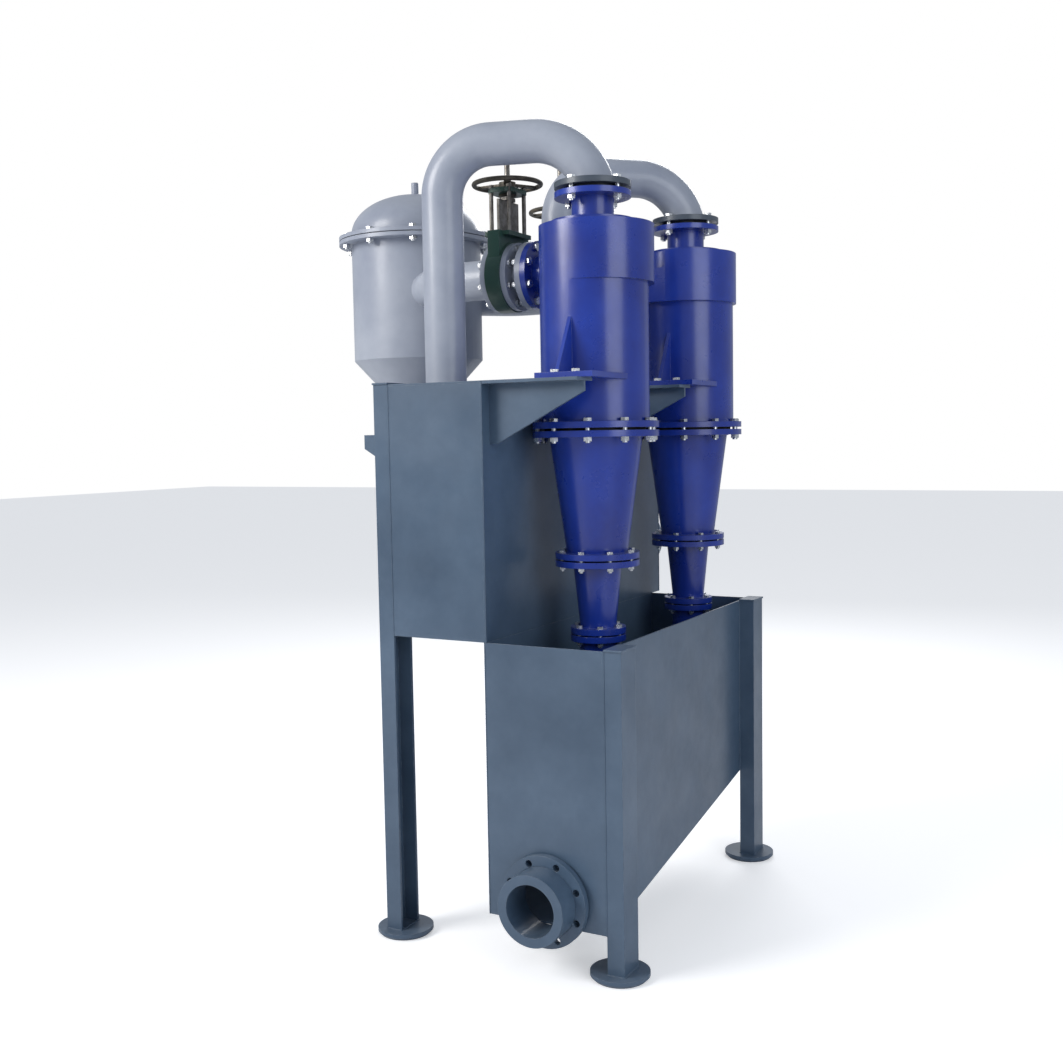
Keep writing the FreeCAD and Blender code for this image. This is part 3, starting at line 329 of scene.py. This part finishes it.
def bead_object(name, seams, slot, radius=BEAD_RADIUS):
    """One piece made of several seams; each is (points, closed)."""
    mesh = bmesh.new()
    for seed, (points, closed) in enumerate(seams):
        add_bead(mesh, points, radius, closed, seed)
    return finish_piece(name, mesh, slot)


def finish_piece(name, mesh, slot, body="frame"):
    """Turns a bmesh into an object with its material, slot and body."""
    bmesh.ops.recalc_face_normals(mesh, faces=mesh.faces)
    data = bpy.data.meshes.new(name)
    mesh.to_mesh(data)
    mesh.free()
    for polygon in data.polygons:
        polygon.use_smooth = True
    piece = bpy.data.objects.new(name, data)
    bpy.context.scene.collection.objects.link(piece)
    piece.data.materials.append(MATERIALS[slot])
    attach(piece, body)
    return piece


def upright(x, y, low, high):
    """An open seam along a vertical edge."""
    return [(x, y, low), (x, y, high)], False


def tank_seams():
    """Upright seams at the corners of both tanks and along the legs."""
    tank_low, tank_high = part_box("overflow_tank")
    trough_low, trough_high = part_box("underflow_trough")
    cover_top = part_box("tank_cover")[1].z
    seams = [upright(x, y, tank_low.z, cover_top)
             for y in (tank_low.y, tank_high.y) for x in (tank_low.x, tank_high.x)]
    for x in (trough_low.x, trough_high.x):
        seams.append(upright(x, trough_low.y, trough_low.z, trough_high.z))
    slope = (TROUGH_FLOOR_REAR - trough_low.z) / (trough_high.y - trough_low.y)
    for y in (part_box("leg_front_right")[1].y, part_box("leg_rear_right")[0].y):
        floor_level = trough_low.z + slope * (y - trough_low.y)
        seams.append(upright(trough_high.x, y, floor_level, trough_high.z))
    for y in (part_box("leg_front_left")[1].y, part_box("leg_rear_left")[0].y):
        seams.append(upright(tank_low.x, y, tank_low.z, cover_top))
    return seams


def leg_foot_seams():
    """A closed seam round the foot of each leg."""
    seams = []
    for name in ("leg_front_left", "leg_rear_left", "leg_front_right", "leg_rear_right"):
        low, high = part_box(name)
        corners = ((low.x, low.y), (high.x, low.y), (high.x, high.y), (low.x, high.y))
        seams.append(([(x, y, low.z) for x, y in corners], True))
    return seams


def centre_of(node):
    low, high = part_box(node)
    return (low + high) / 2


def cyclone_seams(number):
    """Rings where flanges, barrel, roof and neck meet."""
    axis = centre_of(f"upper_cone_{number}")
    head_low, head_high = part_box(f"cyclone_head_{number}")
    cone_low, cone_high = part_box(f"upper_cone_{number}")
    lower_low, lower_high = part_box(f"lower_cone_{number}")
    rings = ((BARREL_RING, head_low.z + BODY_FLANGE),
             (CONE_TOP_RING, cone_high.z - BODY_FLANGE),
             (CONE_FOOT_RING, cone_low.z + CONE_FLANGE),
             (LOWER_CONE_TOP_RING, lower_high.z - CONE_FLANGE),
             (LOWER_CONE_FOOT_RING, lower_low.z + FOOT_FLANGE),
             (NECK_RING, head_high.z + COVER))
    return [(circle((axis.x, axis.y, z), radius), True) for radius, z in rings]


bead_object("welds_tanks", tank_seams(), "tank_paint", FINE_BEAD_RADIUS)
bead_object("welds_feet", leg_foot_seams(), "tank_paint")
for number in (1, 2):
    bead_object(f"welds_cyclone_{number}", cyclone_seams(number), "cyclone_blue", FINE_BEAD_RADIUS)


# ---------------------------------------------------------------- studio
def studio():
    """Pale floor, white surroundings and three soft lamps."""
    reach = FLOOR_REACH
    corners = [(-reach, -reach, 0), (reach, -reach, 0), (reach, reach, 0), (-reach, reach, 0)]
    data = bpy.data.meshes.new("floor")
    data.from_pydata(corners, [], [(0, 1, 2, 3)])
    floor = bpy.data.objects.new("floor", data)
    bpy.context.scene.collection.objects.link(floor)
    material, tree, shader = new_material("floor")
    shader.inputs["Base Color"].default_value = FLOOR_COLOUR
    shader.inputs["Roughness"].default_value = FLOOR_ROUGHNESS
    shader.inputs["Emission Color"].default_value = WHITE
    path = tree.nodes.new("ShaderNodeLightPath")
    glow = maths(tree, "MULTIPLY", path.outputs["Is Camera Ray"], FLOOR_GLOW)
    tree.links.new(glow, shader.inputs["Emission Strength"])
    floor.data.materials.append(material)

    world = bpy.data.worlds.new("studio")
    bpy.context.scene.world = world
    world.use_nodes = True
    tree = world.node_tree
    background = tree.nodes["Background"]
    path = tree.nodes.new("ShaderNodeLightPath")
    seen = maths(tree, "MAXIMUM", path.outputs["Is Camera Ray"], path.outputs["Is Transmission Ray"])
    tree.links.new(mix(tree, seen, SKY_COLOUR, WHITE), background.inputs["Color"])
    tree.links.new(remap(tree, seen, 0.0, 1.0, SKY_STRENGTH, 1.0), background.inputs["Strength"])

    for name, place, diameter, watts, colour in LAMPS:
        lamp = bpy.data.lights.new(name, "AREA")
        lamp.shape = "DISK"
        lamp.size = diameter
        lamp.energy = watts
        lamp.color = colour
        holder = bpy.data.objects.new(name, lamp)
        bpy.context.scene.collection.objects.link(holder)
        holder.location = place
        aim = LAMP_AIM - holder.location
        holder.rotation_euler = aim.to_track_quat("-Z", "Y").to_euler()


def camera():
    """The camera, at eye height in front of the outlet end."""
    data = bpy.data.cameras.new("camera")
    data.lens, data.sensor_width = CAMERA_LENS, CAMERA_SENSOR
    holder = bpy.data.objects.new("camera", data)
    bpy.context.scene.collection.objects.link(holder)
    turn = (Matrix.Rotation(CAMERA_YAW, 4, "Z") @ Matrix.Rotation(math.pi / 2 - CAMERA_PITCH, 4, "X")
            @ Matrix.Rotation(CAMERA_ROLL, 4, "Z"))
    holder.matrix_world = Matrix.Translation(CAMERA_PLACE) @ turn
    bpy.context.scene.camera = holder


studio()
camera()
bpy.context.scene.view_settings.view_transform = "Standard"
